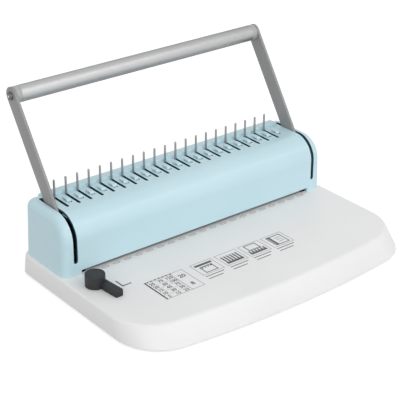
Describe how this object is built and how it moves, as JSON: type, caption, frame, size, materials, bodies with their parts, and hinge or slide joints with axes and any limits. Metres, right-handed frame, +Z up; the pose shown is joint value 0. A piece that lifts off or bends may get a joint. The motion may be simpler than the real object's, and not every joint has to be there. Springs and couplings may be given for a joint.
{
  "type": "comb binding machine",
  "caption": "Manual comb binding machine with a lever handle, a punching throat, a row of comb pins on its housing and a wide front platform.",
  "frame": {"origin": "on the table, under the middle of the machine's box", "axes": "+X to the operator's right along the pin row, +Y to the back, +Z up"},
  "size_m": [0.365, 0.2744, 0.1954],
  "materials": {
    "base_plastic": "fine satin moulding",
    "tray_plastic": "fine satin moulding",
    "housing_plastic": "fine satin moulding",
    "hook_paint": "satin paint",
    "cover_sheet": "grey coated sheet",
    "rubber": "matte",
    "knob_plastic": "matte",
    "arm_paint": "satin grey paint",
    "tube_paint": "satin silver paint",
    "plug_plastic": "satin",
    "pin_steel": "plated",
    "frame_sheet": "zinc plated sheet",
    "tool_steel": "ground and oiled",
    "shaft_steel": "turned",
    "bush_nylon": "natural nylon",
    "screw_steel": "zinc plated"
  },
  "bodies": {
    "base": {"base_shell": "base_plastic", "bottom_cover": "cover_sheet", "rubber_feet": "rubber", "cover_screws": "screw_steel", "die_plate": "tool_steel", "throat_spacers": "frame_sheet", "paper_stop": "frame_sheet", "punch_guide": "tool_steel", "die_screws": "screw_steel", "side_frame_left": "frame_sheet", "side_frame_right": "frame_sheet", "frame_screws": "screw_steel", "shaft_bushes": "bush_nylon", "stop_pins": "shaft_steel", "hook_rail": "hook_paint", "rail_screws": "screw_steel", "upper_housing": "housing_plastic", "housing_screws": "screw_steel"},
    "handle": {"main_shaft": "shaft_steel", "punch_pinions": "tool_steel", "comb_cranks": "tool_steel", "crank_pins": "shaft_steel", "roll_pins": "shaft_steel", "handle_arm_left": "arm_paint", "handle_arm_right": "arm_paint", "shaft_washers": "screw_steel", "shaft_screws": "screw_steel", "handle_tube": "tube_paint", "tube_plugs": "plug_plastic", "handle_screws": "screw_steel"},
    "press": {"press_bar": "tool_steel", "press_racks": "tool_steel", "rack_screws": "screw_steel", "punches": "tool_steel", "retainer_rod": "tool_steel"},
    "comb": {"comb_carriage": "frame_sheet", "carriage_yokes": "tool_steel", "yoke_screws": "screw_steel", "comb_pins": "pin_steel"},
    "guide": {"paper_guide_knob": "knob_plastic", "knob_spindle": "shaft_steel", "knob_clip": "screw_steel"},
    "tray": {"chip_tray": "tray_plastic"}
  },
  "joints": [
    {"name": "handle_swing", "type": "hinge", "parent": "base", "child": "handle", "pos_m": [0, 0.04153, 0.055], "axis": [1, 0, 0], "range_deg": [0, 128]},
    {"name": "press_stroke", "type": "slide", "parent": "base", "child": "press", "axis": [0, 0, -1], "range_m": [0, 0.01341]},
    {"name": "comb_travel", "type": "slide", "parent": "base", "child": "comb", "axis": [0, -1, 0], "range_m": [0, 0.022]},
    {"name": "guide_turn", "type": "hinge", "parent": "base", "child": "guide", "pos_m": [-0.1584, -0.00817, 0.0225], "axis": [0, 0, 1], "range_deg": [0, 90]},
    {"name": "tray_slide", "type": "slide", "parent": "base", "child": "tray", "axis": [1, 0, 0], "range_m": [0, 0.2]}
  ],
  "couplings": [
    {"joint": "press_stroke", "follows": "handle_swing", "m_per_rad": 0.006},
    {"joint": "comb_travel", "follows": "handle_swing", "m_per_rad": 0.0098477}
  ]
}
